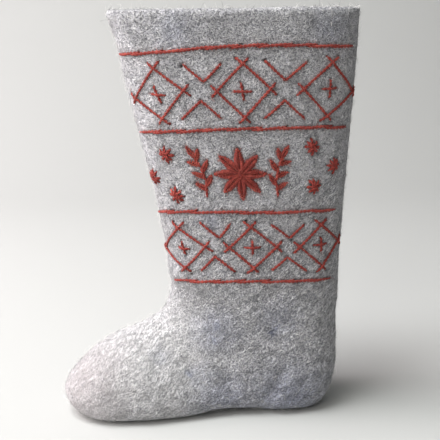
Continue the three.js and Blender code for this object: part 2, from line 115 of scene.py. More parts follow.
boot_middle = Vector((-0.07, 0, 0.18))
lamp_rows = [
    {"name": "window", "place": (-1.9, -0.35, 1.15), "size": 1.5, "power": 30, "colour": (1.0, 0.96, 0.97)},
    {"name": "window_side", "place": (-1.6, 0.5, 1.0), "size": 1.0, "power": 15, "colour": (1.0, 0.86, 0.9)},
    {"name": "window_top", "place": (-0.9, -0.3, 2.2), "size": 1.0, "power": 52, "colour": (0.98, 1.0, 1.0)},
    {"name": "room", "place": (-1.3, -1.7, 1.5), "size": 1.2, "power": 16, "colour": (1.0, 0.97, 0.92)},
]
for row in lamp_rows:
    towards = boot_middle - Vector(row["place"])
    turn = towards.to_track_quat("-Z", "Y").to_euler()
    bpy.ops.object.light_add(type="AREA", location=row["place"], rotation=turn)
    lamp = bpy.context.object
    lamp.name = row["name"]
    lamp.visible_camera = False
    lamp.data.size = row["size"]
    lamp.data.energy = row["power"]
    lamp.data.color = row["colour"]

# Felted leg, foot and sole
# One piece of thick grey wool felt, shrunk and beaten over a last. Its collar is cut across, its
# sole is the same felt left thicker, and the wool keeps soft dents where it was pressed and folded.
felt_grain = 0.0026
merge_distance = 1e-5
rim_angle = 1.0
rim_crease = 1.0
sole_flat = 0.0015
sole_facing = -0.95
nap_thickness = 0.0008


def only(piece):
    bpy.ops.object.select_all(action="DESELECT")
    bpy.context.view_layer.objects.active = piece
    piece.select_set(True)


def apply_modifier(piece, kind, **settings):
    only(piece)
    modifier = piece.modifiers.new(kind.lower(), kind)
    for name, value in settings.items():
        setattr(modifier, name, value)
    bpy.ops.object.modifier_apply(modifier=modifier.name)


def copy_of_node(node, name):
    """A new piece with the solid's own mesh, its loose triangles merged into a skin of quads."""
    piece = bpy.data.objects.new(name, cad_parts[node].data.copy())
    piece.data.materials.clear()
    bpy.context.collection.objects.link(piece)
    only(piece)
    bpy.ops.object.mode_set(mode="EDIT")
    bpy.ops.mesh.select_all(action="SELECT")
    bpy.ops.mesh.remove_doubles(threshold=merge_distance)
    bpy.ops.mesh.tris_convert_to_quads(face_threshold=1.0, shape_threshold=1.0)
    bpy.ops.object.mode_set(mode="OBJECT")
    return piece


def points_of(piece):
    points = np.zeros(len(piece.data.vertices) * 3, np.float32)
    piece.data.vertices.foreach_get("co", points)
    return points.reshape(-1, 3).astype(float)


def normals_of(piece):
    normals = np.zeros(len(piece.data.vertices) * 3, np.float32)
    piece.data.vertex_normals.foreach_get("vector", normals)
    return normals.reshape(-1, 3).astype(float)


def set_points(piece, points):
    piece.data.vertices.foreach_set("co", points.astype(np.float32).ravel())
    piece.data.update()


felt = copy_of_node("felted_upper_and_sole", "felted_wool")
bpy.ops.object.mode_set(mode="EDIT")
bpy.ops.mesh.select_all(action="DESELECT")
bpy.ops.mesh.edges_select_sharp(sharpness=rim_angle)
bpy.ops.transform.edge_crease(value=rim_crease)
bpy.ops.object.mode_set(mode="OBJECT")
apply_modifier(felt, "SUBSURF", levels=2, render_levels=2)
apply_modifier(felt, "REMESH", mode="VOXEL", voxel_size=felt_grain)

# Finer felt where it is embroidered, so that the stitches can press into it.
embroidered_low, embroidered_high = 0.128, 0.362
embroidered_side = -0.012
embroidered_facing = -0.2
for face in felt.data.polygons:
    outside = face.center.y < embroidered_side and face.normal.y < embroidered_facing
    face.select = outside and embroidered_low < face.center.z < embroidered_high
bpy.ops.object.mode_set(mode="EDIT")
bpy.ops.mesh.select_mode(type="FACE")
bpy.ops.mesh.subdivide(number_cuts=1)
bpy.ops.object.mode_set(mode="OBJECT")
bpy.ops.object.shade_smooth()

# Troughs (below 0) and ridges where the felt was pressed. Each runs through places of the side view
# (x, z), on the embroidered side (-1), the far side (1) or both (0), and fades out towards its ends.
trough_rows = {
    "ankle fold": {"through": [(-0.128, 0.131), (-0.104, 0.121), (-0.078, 0.119)],
        "side": 0, "width": 0.009, "height": -0.0032},
    "ridge above the fold": {"through": [(-0.124, 0.146), (-0.1, 0.137), (-0.07, 0.136)],
        "side": 0, "width": 0.01, "height": 0.0015},
    "shin ridge": {"through": [(-0.113, 0.152), (-0.119, 0.13), (-0.131, 0.112)],
        "side": -1, "width": 0.006, "height": 0.0016},
    "instep fold": {"through": [(-0.142, 0.096), (-0.112, 0.098), (-0.085, 0.107)],
        "side": 0, "width": 0.011, "height": -0.002},
    "vamp ridge": {"through": [(-0.172, 0.064), (-0.145, 0.078), (-0.114, 0.086)],
        "side": -1, "width": 0.012, "height": 0.0008},
    "vamp dent": {"through": [(-0.152, 0.05), (-0.128, 0.06), (-0.1, 0.062)],
        "side": -1, "width": 0.011, "height": -0.0008},
    "vamp fold": {"through": [(-0.127, 0.068), (-0.133, 0.058), (-0.14, 0.046)],
        "side": -1, "width": 0.006, "height": -0.0012},
    "waist dent": {"through": [(-0.11, 0.06), (-0.105, 0.048), (-0.095, 0.034)],
        "side": -1, "width": 0.008, "height": -0.0026},
    "waist ridge": {"through": [(-0.094, 0.064), (-0.088, 0.05), (-0.082, 0.034)],
        "side": -1, "width": 0.008, "height": 0.0013},
    "second waist dent": {"through": [(-0.072, 0.06), (-0.069, 0.047), (-0.066, 0.034)],
        "side": -1, "width": 0.008, "height": -0.0018},
    "ball dent": {"through": [(-0.182, 0.036), (-0.168, 0.028), (-0.152, 0.026)],
        "side": -1, "width": 0.009, "height": -0.0014},
    "heel seat dent": {"through": [(-0.015, 0.049), (-0.0286, 0.0257), (-0.038, 0.008)],
        "side": -1, "width": 0.0075, "height": -0.0034},
    "heel ridge": {"through": [(-0.01, 0.052), (-0.014, 0.036), (-0.02, 0.016)],
        "side": -1, "width": 0.008, "height": 0.0016},
    "ankle hollow": {"through": [(-0.04, 0.1), (-0.024, 0.092), (-0.006, 0.096)],
        "side": 0, "width": 0.014, "height": -0.0024},
    "ankle dent": {"through": [(-0.02, 0.138), (-0.03, 0.126), (-0.042, 0.112)],
        "side": -1, "width": 0.008, "height": -0.0018},
    "heel fold": {"through": [(0.045, 0.098), (0.03, 0.09), (0.012, 0.092)],
        "side": 0, "width": 0.01, "height": -0.002},
    "calf dent": {"through": [(-0.09, 0.36), (-0.062, 0.352), (-0.03, 0.356)],
        "side": -1, "width": 0.014, "height": -0.0013},
    "far waist fold": {"through": [(-0.12, 0.052), (-0.1, 0.062), (-0.075, 0.06)],
        "side": 1, "width": 0.012, "height": -0.0026},
    "far calf dent": {"through": [(-0.12, 0.27), (-0.09, 0.25), (-0.06, 0.262)],
        "side": 1, "width": 0.018, "height": -0.002},
}


def along_path(points, path):
    """Distance of each point from a path in the side view, and its share of the way along it."""
    nearest = np.full(len(points), 1e9)
    share = np.zeros(len(points))
    legs = [np.array(end) - np.array(start) for start, end in zip(path, path[1:])]
    lengths = [np.hypot(*leg) for leg in legs]
    gone = 0.0
    for start, leg, length in zip(path, legs, lengths):
        offset = points[:, [0, 2]] - np.array(start)
        along = np.clip(offset @ leg / length**2, 0, 1)
        distance = np.hypot(*(offset - along[:, None] * leg).T)
        closer = distance < nearest
        nearest[closer] = distance[closer]
        share[closer] = (gone + along[closer] * length) / sum(lengths)
        gone += length
    return nearest, share


def smooth_step(value, low, high):
    share = np.clip((value - low) / (high - low), 0, 1)
    return share * share * (3 - 2 * share)


def lumps(points, size, seed):
    """Smooth noise from -1 to 1 with lumps about as wide as size."""
    shift = Vector((seed * 7.1, seed * 3.3, seed * 5.7))
    return np.array([noise.noise(Vector(point) / size + shift) for point in points])


# The cut edge of the collar is crisp, and a little higher at the front than at the back.
cut_angle = 0.9
cut_low, cut_high = 0.0024, 0.001
slant_low, slant_high = 0.356, 0.378
collar_top = max(vertex.co.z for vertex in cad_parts["felted_upper_and_sole"].data.vertices)
collar_front_rise = 0.003
collar_back = 0.045
collar_depth = 0.18
felt_points = points_of(felt)
felt_normals = normals_of(felt)
on_edge = smooth_step(felt_points[:, 2], collar_top - cut_low, collar_top - cut_high)
felt_points[:, 2] += on_edge * (collar_top - felt_points[:, 2])
to_front = np.clip((collar_back - felt_points[:, 0]) / collar_depth, 0, 1)
slant = smooth_step(felt_points[:, 2], slant_low, slant_high)
felt_points[:, 2] += collar_front_rise * to_front * slant
set_points(felt, felt_points)
bpy.ops.object.mode_set(mode="EDIT")
bpy.ops.mesh.select_all(action="DESELECT")
bpy.ops.mesh.edges_select_sharp(sharpness=cut_angle)
bpy.ops.mesh.mark_sharp()
bpy.ops.object.mode_set(mode="OBJECT")

# The troughs and lumps are added along the felt's normals. The lumps are larger on the foot.
trough_end = 0.12
trough_fade = 0.8
side_low, side_high = -0.006, 0.012
lump_rows = [
    {"size": 0.034, "height": 0.0004, "more_on_foot": 0.0007},
    {"size": 0.014, "height": 0.00025, "more_on_foot": 0.00025},
    {"size": 0.006, "height": 0.00022, "more_on_foot": 0.0},
]
foot_top, leg_foot = 0.1, 0.17
rounding_low, rounding_high = 0.0004, 0.006
rise = np.full(len(felt_points), nap_thickness)
for row in trough_rows.values():
    distance, share = along_path(felt_points, row["through"])
    fade = np.sin(np.pi * (trough_end + (1 - 2 * trough_end) * share)) ** trough_fade
    on_side = 1.0
    if row["side"]:
        on_side = smooth_step(row["side"] * felt_points[:, 1], side_low, side_high)
    rise += row["height"] * fade * on_side * np.exp(-((distance / row["width"]) ** 2))
on_foot = 1 - smooth_step(felt_points[:, 2], foot_top, leg_foot)
for seed, row in enumerate(lump_rows, 1):
    rise += (row["height"] + row["more_on_foot"] * on_foot) * lumps(felt_points, row["size"], seed)
off_floor = smooth_step(felt_points[:, 2], rounding_low, rounding_high)
felt_points += felt_normals * (rise * off_floor)[:, None]
resting = felt_points[:, 2] < sole_flat
felt_points[resting & (felt_normals[:, 2] < sole_facing), 2] = 0
felt_points[:, 2] = np.maximum(felt_points[:, 2], 0)
set_points(felt, felt_points)


def add_node(material, kind, inputs=None, **settings):
    """Adds a node to a material. An input is given as a value, or as the output that feeds it."""
    node = material.node_tree.nodes.new(kind)
    for name, value in settings.items():
        setattr(node, name, value)
    for name, value in (inputs or {}).items():
        if isinstance(value, bpy.types.NodeSocket):
            material.node_tree.links.new(value, node.inputs[name])
        else:
            node.inputs[name].default_value = value
    return node


def coordinates(material):
    return add_node(material, "ShaderNodeTexCoord").outputs["Object"]


def calculate(material, operation, first, second=0.5, third=0.5):
    inputs = {0: first, 1: second, 2: third}
    return add_node(material, "ShaderNodeMath", inputs, operation=operation).outputs[0]


def map_range(material, value, low, high, to_low=0.0, to_high=1.0, smooth=True):
    inputs = {"Value": value, "From Min": low, "From Max": high, "To Min": to_low, "To Max": to_high}
    kind = "SMOOTHSTEP" if smooth else "LINEAR"
    return add_node(material, "ShaderNodeMapRange", inputs, interpolation_type=kind).outputs["Result"]


def mix_colours(material, share, first, second, blend="MIX"):
    inputs = {0: share, 6: first, 7: second}
    return add_node(material, "ShaderNodeMix", inputs, data_type="RGBA", blend_type=blend).outputs[2]


def mix_values(material, share, first, second):
    inputs = {0: share, 2: first, 3: second}
    return add_node(material, "ShaderNodeMix", inputs, data_type="FLOAT").outputs[0]


def add_noise(material, place, scale, detail=2.0, roughness=0.5):
    inputs = {"Vector": place, "Scale": scale, "Detail": detail, "Roughness": roughness}
    return add_node(material, "ShaderNodeTexNoise", inputs)


def curled(material, place, reach, size):
    """Coordinates bent by noise, so that fibres laid along them curl."""
    bend = add_noise(material, place, 1 / size, detail=1.0).outputs["Color"]
    inputs = {0: bend, 1: (reach,) * 3, 2: (-reach / 2,) * 3}
    offset = add_node(material, "ShaderNodeVectorMath", inputs, operation="MULTIPLY_ADD").outputs[0]
    return add_node(material, "ShaderNodeVectorMath", {0: place, 1: offset}, operation="ADD").outputs[0]


def fibre_noise(material, place, turn, thickness, length, detail=1.0, roughness=0.5):
    """Noise drawn out along one direction, as fibres of that thickness and length."""
    inputs = {"Vector": place, "Rotation": turn, "Scale": (thickness, thickness, length)}
    laid = add_node(material, "ShaderNodeMapping", inputs, vector_type="TEXTURE").outputs[0]
    return add_noise(material, laid, 1.0, detail, roughness).outputs[0]


def strongest(material, values):
    """The largest of several values at each place."""
    total = values[0]
    for value in values[1:]:
        total = calculate(material, "MAXIMUM", total, value)
    return total


# Directions in which the fibres of the felt lie, crossing each other on the leg and combed up
# towards the heel on the foot.
crossed_turns = [(0.5, 0.7, 0.2), (-0.9, 0.4, 1.1), (1.4, -0.8, 2.1), (0.2, 1.5, -0.6)]
combed_turns = [(0.25, 0.92, 0), (-0.2, 1.1, 0.2), (0.1, 0.76, -0.2)]
dark_turn = 1.3
dark_combed_turn = (0, 0.12, 1.0)

# Sizes of the fibres, and how strong the noise is where a fibre starts to show and where it is full.
crossed_pale = {"thickness": 0.00105, "length": 0.0038, "low": 0.55, "high": 0.68}
crossed_dark = {"thickness": 0.00115, "length": 0.0036, "low": 0.58, "high": 0.7}
combed_pale = {"thickness": 0.001, "length": 0.0056, "low": 0.53, "high": 0.65}
combed_dark = {"thickness": 0.0011, "length": 0.0054, "low": 0.545, "high": 0.65}
combed_clumps = {"thickness": 0.0062, "length": 0.015, "detail": 3.0, "roughness": 0.75}
cloud_height = 1.5


def fibre_layer(material, place, turns, thickness, length, low, high):
    """Fibres that lie in several directions over each other."""
    amounts = []
    for turn in turns:
        amount = fibre_noise(material, place, turn, thickness, length)
        amounts.append(map_range(material, amount, low, high))
    return strongest(material, amounts)


def wool_colour(material, base, dark, pale, dark_share, pale_share, combed=None):
    """Heathered wool: a base colour with curled dark and pale fibres. Gives colour and height."""
    place = curled(material, coordinates(material), reach=0.004, size=0.007)
    dark_turns = [tuple(angle + dark_turn for angle in turn) for turn in crossed_turns]
    pale_amount = fibre_layer(material, place, crossed_turns, **crossed_pale)
    dark_amount = fibre_layer(material, place, dark_turns, **crossed_dark)
    cloud = add_noise(material, place, scale=88.0, detail=3.0, roughness=0.72).outputs[0]
    if combed:
        place = curled(material, coordinates(material), reach=0.0022, size=0.006)
        dark_turns = [tuple(np.add(turn, dark_combed_turn)) for turn in combed_turns]
        pale_combed = fibre_layer(material, place, combed_turns, **combed_pale)
        dark_combed = fibre_layer(material, place, dark_turns, **combed_dark)
        pale_amount = mix_values(material, combed, pale_amount, pale_combed)
        dark_amount = mix_values(material, combed, dark_amount, dark_combed)
        clumps = fibre_noise(material, place, combed_turns[0], **combed_clumps)
        clumps = map_range(material, clumps, 0.36, 0.64, to_low=0.3, to_high=0.7, smooth=False)
        cloud = mix_values(material, combed, cloud, clumps)
    cloud = map_range(material, cloud, 0.3, 0.7, to_low=0.68, to_high=1.32, smooth=False)
    colour = mix_colours(material, calculate(material, "MULTIPLY", pale_amount, pale_share), base, pale)
    colour = mix_colours(material, calculate(material, "MULTIPLY", dark_amount, dark_share), colour, dark)
    shade = add_node(material, "ShaderNodeCombineColor", {0: cloud, 1: cloud, 2: cloud}).outputs[0]
    colour = mix_colours(material, 1.0, colour, shade, "MULTIPLY")
    height = calculate(material, "SUBTRACT", pale_amount, dark_amount)
    return colour, calculate(material, "MULTIPLY_ADD", cloud, cloud_height, height)


def dress(material, shader, colour, height, distance, strength):
    """Gives a shader its colour and its raised grain."""
    inputs = {"Height": height, "Distance": distance, "Strength": strength}
    bump = add_node(material, "ShaderNodeBump", inputs)
    material.node_tree.links.new(colour, shader.inputs["Base Color"])
    material.node_tree.links.new(bump.outputs[0], shader.inputs["Normal"])


# Places where darker, bluer wool was felted in, and painted light: the vamp and the toe painted paler
# where the window lights them, and a smooth pale pink painted over the toe as its highlight.
stain_rows = {
    "instep": {"place": (-0.08, -0.036, 0.088), "radius": 0.036, "strength": 0.4},
    "instep spot": {"place": (-0.081, -0.036, 0.096), "radius": 0.014, "strength": 0.6},
    "lower instep spot": {"place": (-0.08, -0.035, 0.082), "radius": 0.014, "strength": 0.55},
    "ankle spot": {"place": (-0.0265, -0.041, 0.0893), "radius": 0.011, "strength": 0.9},
    "waist spot": {"place": (-0.104, -0.035, 0.046), "radius": 0.009, "strength": 0.6},
    "ankle": {"place": (-0.022, -0.042, 0.1), "radius": 0.03, "strength": 0.35},
    "vamp": {"place": (-0.133, -0.03, 0.062), "radius": 0.016, "strength": 0.2},
    "waist": {"place": (-0.09, -0.037, 0.042), "radius": 0.026, "strength": 0.3},
    "waist edge": {"place": (-0.07, -0.036, 0.012), "radius": 0.055, "strength": 0.5},
    "heel": {"place": (-0.03, -0.04, 0.026), "radius": 0.022, "strength": 0.45},
    "heel edge": {"place": (-0.01, -0.04, 0.01), "radius": 0.075, "strength": 0.6},
    "collar": {"place": (-0.115, -0.036, 0.366), "radius": 0.026, "strength": 0.3},
    "collar back": {"place": (0.02, -0.034, 0.365), "radius": 0.03, "strength": 0.3},
    "shin": {"place": (-0.085, -0.04, 0.197), "radius": 0.018, "strength": 0.35},
}
# Painted light: the vamp and the toe are painted paler where the window and the floor light them.
painted_light_rows = {
    "vamp": {"place": (-0.146, -0.034, 0.066), "radius": 0.095, "strength": 1.0},
    "toe": {"place": (-0.195, -0.03, 0.02), "radius": 0.06, "strength": 0.5},
}
# A smooth pale pink painted over the toe, a painted highlight where the window lights it.
painted_toe_highlight = {"place": (-0.205, -0.02, 0.035), "radius": 0.07, "strength": 0.5}

felt_base = (0.497, 0.485, 0.52, 1)
felt_dark = (0.1, 0.105, 0.12, 1)
felt_pale = (0.86, 0.85, 0.84, 1)
# The colour of the painted highlight on the toe.
toe_highlight_colour = (0.625, 0.535, 0.535, 1)
stain_tint = (0.41, 0.47, 0.69, 1)
# The painted light's colour, and how strongly it is screened over the fibres.
painted_light_colour = (0.78, 0.755, 0.765, 1)
painted_light_lift = 0.36
# Near-black painted shade inside the needle holes.
hole_shade_colour = (0.03, 0.022, 0.022, 1)

felt_material, felt_shader = new_material("heathered_felt", roughness=0.97, sheen=0.35, specular=0.15)
felt_place = coordinates(felt_material)
blotch_place = curled(felt_material, felt_place, reach=0.016, size=0.01)


def blotches(rows):
    """How strongly each place of the felt is in one of the blotches, which have ragged edges."""
    amounts = []
    for row in rows:
        inputs = {0: blotch_place, 1: row["place"]}
        away = add_node(felt_material, "ShaderNodeVectorMath", inputs, operation="DISTANCE").outputs["Value"]
        amounts.append(map_range(felt_material, away, row["radius"], 0.0, to_high=row["strength"]))
    return strongest(felt_material, amounts)


# The wool is combed on the foot and crossed on the leg, and the two kinds meet in patches.
combed_below, crossed_above = 0.455, 0.485
patch_reach = 0.5
height_above_floor = add_node(felt_material, "ShaderNodeSeparateXYZ", {0: felt_place}).outputs[2]
patches = add_noise(felt_material, felt_place, scale=60.0).outputs[0]
patchy_height = calculate(felt_material, "MULTIPLY_ADD", patches, patch_reach, height_above_floor)
combed = map_range(felt_material, patchy_height, crossed_above, combed_below)
# Painted light: the felt is paler under the painted light rows, and that pale colour is screened over its
# fibres there.
painted_light = blotches(painted_light_rows.values())
base = mix_colours(felt_material, painted_light, felt_base, painted_light_colour)
colour, height = wool_colour(felt_material, base, felt_dark, felt_pale, 0.78, 0.66, combed)
painted_light_screen = mix_colours(felt_material, 1.0, colour, painted_light_colour, "SCREEN")
colour = mix_colours(felt_material, calculate(felt_material, "MULTIPLY", painted_light, painted_light_lift), colour, painted_light_screen)
# The painted highlight on the toe.
colour = mix_colours(felt_material, blotches([painted_toe_highlight]), colour, toe_highlight_colour)
stained = mix_colours(felt_material, 1.0, colour, stain_tint, "MULTIPLY")
colour = mix_colours(felt_material, blotches(stain_rows.values()), colour, stained)
# Painted shade in the needle holes and under the yarn, read from an attribute that the stitches fill in.
hole_shade = add_node(felt_material, "ShaderNodeAttribute", attribute_name="hole_shade").outputs["Fac"]
colour = mix_colours(felt_material, hole_shade, colour, hole_shade_colour)
dress(felt_material, felt_shader, colour, height, distance=0.0011, strength=0.8)
felt.data.materials.append(felt_material)
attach(felt, "root")
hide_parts("felted_upper_and_sole")

# Insole
# A loose sheet of paler pressed felt, cut to the inside of the foot and pushed in through the leg. It
# lies on the sole and stays there by friction.
insole_grain = 0.0012
insole_wave_height = 0.00015
insole_wave_size = 0.02
insole_base = (0.62, 0.58, 0.51, 1)
insole_dark = (0.3, 0.26, 0.22, 1)
insole_pale = (0.8, 0.77, 0.7, 1)
insole = copy_of_node("insole", "pressed_insole")
apply_modifier(insole, "REMESH", mode="VOXEL", voxel_size=insole_grain)
apply_modifier(insole, "SMOOTH", factor=0.5, iterations=3)
apply_modifier(insole, "DECIMATE", ratio=0.5)
insole_points = points_of(insole)
insole_points[:, 2] += insole_wave_height * lumps(insole_points, insole_wave_size, seed=5)
set_points(insole, insole_points)
only(insole)
bpy.ops.object.shade_smooth()
insole_material, insole_shader = new_material("pressed_felt", roughness=0.95, sheen=0.2, specular=0.15)
colour, height = wool_colour(insole_material, insole_base, insole_dark, insole_pale, 0.4, 0.5)
dress(insole_material, insole_shader, colour, height, distance=0.0004, strength=0.5)
insole.data.materials.append(insole_material)
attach(insole, "root")
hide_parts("insole")

# Chart of the embroidered side
# The pattern is marked on the felt by a share round the leg, 0 down the front and 1 down the back,
# and a height. Each mark is brought back to the felt's own surface.
chart_heights = np.linspace(0.118, 0.372, 90)
chart_rounds = np.linspace(0, 1, 121)
sight_angles = np.linspace(0, math.pi, 73)
felt_tree = BVHTree.FromPolygons([tuple(point) for point in felt_points],
                                 [tuple(face.vertices) for face in felt.data.polygons])


def half_outline(height):
    """Points of the felt at one height, evenly spaced from the front over the embroidered side."""
    front = felt_tree.ray_cast(Vector((-1, 0, height)), Vector((1, 0, 0)))[0]
    back = felt_tree.ray_cast(Vector((1, 0, height)), Vector((-1, 0, 0)))[0]
    middle = (front + back) / 2
    points = []
    for angle in sight_angles:
        way = Vector((-math.cos(angle), -math.sin(angle), 0))
        points.append(felt_tree.ray_cast(middle + way, -way)[0])
    points = np.array(points)
    gone = np.concatenate([[0], np.cumsum(np.linalg.norm(np.diff(points, axis=0), axis=1))])
    return np.stack([np.interp(chart_rounds, gone / gone[-1], points[:, k]) for k in range(3)], axis=1)


chart = np.array([half_outline(height) for height in chart_heights])
chart_up = np.gradient(chart, axis=0)
chart_back = np.gradient(chart, axis=1)
chart_out = np.cross(chart_back, chart_up)
chart_out /= np.linalg.norm(chart_out, axis=2)[:, :, None]


def read_chart(values, marks):
    """Values of the chart at marks, an array of rows (round, height)."""
    row = np.interp(marks[:, 1], chart_heights, np.arange(len(chart_heights)))
    column = np.clip(marks[:, 0], 0, 1) * (len(chart_rounds) - 1)
    i = np.minimum(row.astype(int), len(chart_heights) - 2)
    j = np.minimum(column.astype(int), len(chart_rounds) - 2)
    up = (row - i)[:, None]
    over = (column - j)[:, None]
    lower = values[i, j] * (1 - over) + values[i, j + 1] * over
    upper = values[i + 1, j] * (1 - over) + values[i + 1, j + 1] * over
    return lower * (1 - up) + upper * up


def leg_length(height):
    """Length of the felt's half outline at a height, which turns metres into a share round the leg."""
    outline = chart[int(np.argmin(abs(chart_heights - height)))]
    return float(np.linalg.norm(np.diff(outline, axis=0), axis=1).sum())


def marks_of(node):
    """Chart marks of the points of a solid that lies on the embroidered side."""
    points = np.array([vertex.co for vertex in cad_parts[node].data.vertices])
    marks = []
    for point in points:
        i = int(np.argmin(abs(chart_heights - point[2])))
        j = int(np.argmin(np.linalg.norm(chart[i] - point, axis=1)))
        over = (point - chart[i, j]) @ chart_back[i, j] / (chart_back[i, j] @ chart_back[i, j])
        marks.append(((j + over) / (len(chart_rounds) - 1), point[2]))
    return np.array(marks)


# Yarn
# Two plies of red-orange wool twisted together. Every stitch comes up through the felt, lies flat
# on it and goes down again, drawing the felt in at its ends, and later stitches lie over earlier.
yarn_pitch = 0.0074
yarn_step = 0.0009
stitch_bow = 0.0005
needle_sink = 0.0016
needle_draw = 0.0019
swell_length = 0.004
ply_sides = 6

# Shares of the yarn's width: how far its plies lie from its middle, sideways and upwards, their
# radius, how high its middle lies over the felt, and how near an earlier stitch lifts it.
ply_side, ply_up = 0.2695, 0.1764
ply_radius = 0.275
yarn_lie = 0.3
crossing_reach = 0.8

# Shares of its full thickness at the ends of a stitch, how much it swells along its length, and how
# much of a short stitch one end takes up.
end_fullness = 0.62
tip_radius = 0.55
yarn_swell = 0.06
end_share = 0.45
all_stitches = []
rng = np.random.default_rng(12)


def new_work():
    return {"points": [], "faces": [], "texture": [], "laid": []}


def add_tube(work, centres, side, out, radii, start_phase, gone):
    """A closed tube round a line of centres, with texture coordinates along and round it."""
    rings = len(centres)
    first = sum(len(points) for points in work["points"])
    angles = 2 * np.pi * np.arange(ply_sides) / ply_sides
    ring = (np.cos(angles)[None, :, None] * side[:, None] + np.sin(angles)[None, :, None] * out[:, None])
    points = centres[:, None] + ring * radii[:, None, None]
    tips = np.stack([centres[0], centres[-1]])
    work["points"] += [points.reshape(-1, 3), tips]
    along = np.repeat(gone, ply_sides)
    round_ply = np.tile(np.arange(ply_sides) / ply_sides, rings) + start_phase
    work["texture"] += [np.stack([along, round_ply], axis=1), np.array([[gone[0], 0.0], [gone[-1], 0.0]])]
    start_tip, end_tip = first + rings * ply_sides, first + rings * ply_sides + 1
    for i in range(rings - 1):
        for k in range(ply_sides):
            a = first + i * ply_sides + k
            b = first + i * ply_sides + (k + 1) % ply_sides
            work["faces"].append((a, b, b + ply_sides, a + ply_sides))
    last = first + (rings - 1) * ply_sides
    for k in range(ply_sides):
        n = (k + 1) % ply_sides
        work["faces"].append((first + n, first + k, start_tip))
        work["faces"].append((last + k, last + n, end_tip))


# Each stitch gives two values for its ends. Each deepens the felt's dimple at that end and paints shade into
# it.
def lay_stitch(work, start, end, width, bow=0.0, end_draw_and_shade=(0.3, 0.3), climb=0.62, taper=0.0019):
    """One stitch between two marks. bow is how far its middle strays sideways, in metres."""
    start, end = np.array(start, float), np.array(end, float)
    leg = leg_length((start[1] + end[1]) / 2)
    length = math.hypot((end[0] - start[0]) * leg, end[1] - start[1])
    steps = max(6, math.ceil(length / yarn_step))
    share = np.linspace(0, 1, steps + 1)
    marks = start + (end - start) * share[:, None]
    felt_line = read_chart(chart, marks)
    out = read_chart(chart_out, marks)
    out /= np.linalg.norm(out, axis=1)[:, None]
    forward = np.gradient(felt_line, axis=0)
    forward /= np.linalg.norm(forward, axis=1)[:, None]
    side = np.cross(out, forward)
    felt_line += side * (bow * np.sin(np.pi * share))[:, None]
    from_end = np.minimum(share, 1 - share) * length
    up = smooth_step(from_end, 0, min(needle_draw, length * end_share))
    lift = -needle_sink + (needle_sink + yarn_lie * width) * up
    if work["laid"]:
        earlier = np.concatenate(work["laid"])
        near = np.linalg.norm(felt_line[:, None] - earlier[None], axis=2).min(axis=1)
        lift += climb * width * np.exp(-((near / (crossing_reach * width)) ** 2)) * up
        eased = np.array([1, 2, 3, 2, 1]) / 9
        lift = np.convolve(np.pad(lift, 2, mode="edge"), eased, mode="valid")
    fullness = smooth_step(from_end, 0, min(taper, length * end_share))
    swell = 1 + yarn_swell * np.sin(share * length / swell_length + rng.uniform(0, 6))
    thickness = width * (end_fullness + (1 - end_fullness) * fullness) * swell
    phase = rng.uniform(0, 2 * np.pi)
    twist = 2 * np.pi * share * length / yarn_pitch + phase
    for ply in (0, np.pi):
        sideways = ply_side * thickness * np.cos(twist + ply)
        upwards = ply_up * thickness * np.sin(twist + ply) + lift
        centres = felt_line + side * sideways[:, None] + out * upwards[:, None]
        radii = ply_radius * thickness
        radii[[0, -1]] *= tip_radius
        add_tube(work, centres, side, out, radii, ply + phase, share * length)
    work["laid"].append(felt_line[2:-2])
    all_stitches.append({"line": felt_line, "width": width, "end_draw_and_shade": end_draw_and_shade})


def finish_work(work, node):
    """Makes the stitches one piece that stands for the solid of that name."""
    name = node + "_yarn"
    mesh = bpy.data.meshes.new(name)
    mesh.from_pydata(np.concatenate(work["points"]).tolist(), [], work["faces"])
    texture = np.concatenate(work["texture"])
    corners = np.zeros(len(mesh.loops), int)
    mesh.loops.foreach_get("vertex_index", corners)
    layer = mesh.uv_layers.new(name="yarn")
    layer.data.foreach_set("uv", texture[corners].astype(np.float32).ravel())
    piece = bpy.data.objects.new(name, mesh)
    bpy.context.collection.objects.link(piece)
    only(piece)
    bpy.ops.object.mode_set(mode="EDIT")
    bpy.ops.mesh.select_all(action="SELECT")
    bpy.ops.mesh.normals_make_consistent(inside=False)
    bpy.ops.object.mode_set(mode="OBJECT")
    bpy.ops.object.shade_smooth()
    mesh.materials.append(yarn_material)
    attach(piece, "root")
    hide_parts(node)


yarn_material, yarn_shader = new_material("twisted_wool_yarn", roughness=0.9, sheen=0.15, specular=0.1)
# The yarn is painted in shaded, middle and lit copies of its colour: painted shade in the grooves between
# its strands, and painted highlights in patches along it.
yarn_shade_colour = (0.15, 0.02, 0.018, 1)
yarn_mid = (0.355, 0.05, 0.037, 1)
yarn_lit = (0.53, 0.108, 0.082, 1)
strand_slant = (0, 0, 0.5)
strand_scale = (420, 14, 1)
along_yarn = add_node(yarn_material, "ShaderNodeUVMap", uv_map="yarn").outputs[0]
inputs = {"Vector": along_yarn, "Rotation": strand_slant, "Scale": strand_scale}
strand_place = add_node(yarn_material, "ShaderNodeMapping", inputs).outputs[0]
strands = add_noise(yarn_material, strand_place, scale=1.0).outputs[0]
# Patches of painted highlight.
painted_highlight_patches = add_noise(yarn_material, coordinates(yarn_material), scale=140.0, detail=3.0).outputs[0]
colour = mix_colours(yarn_material, map_range(yarn_material, strands, 0.32, 0.6), yarn_shade_colour, yarn_mid)
painted_highlight_patches = map_range(yarn_material, painted_highlight_patches, 0.5, 0.72, to_high=0.6)
colour = mix_colours(yarn_material, painted_highlight_patches, colour, yarn_lit)
dress(yarn_material, yarn_shader, colour, strands, distance=0.0004, strength=0.7)

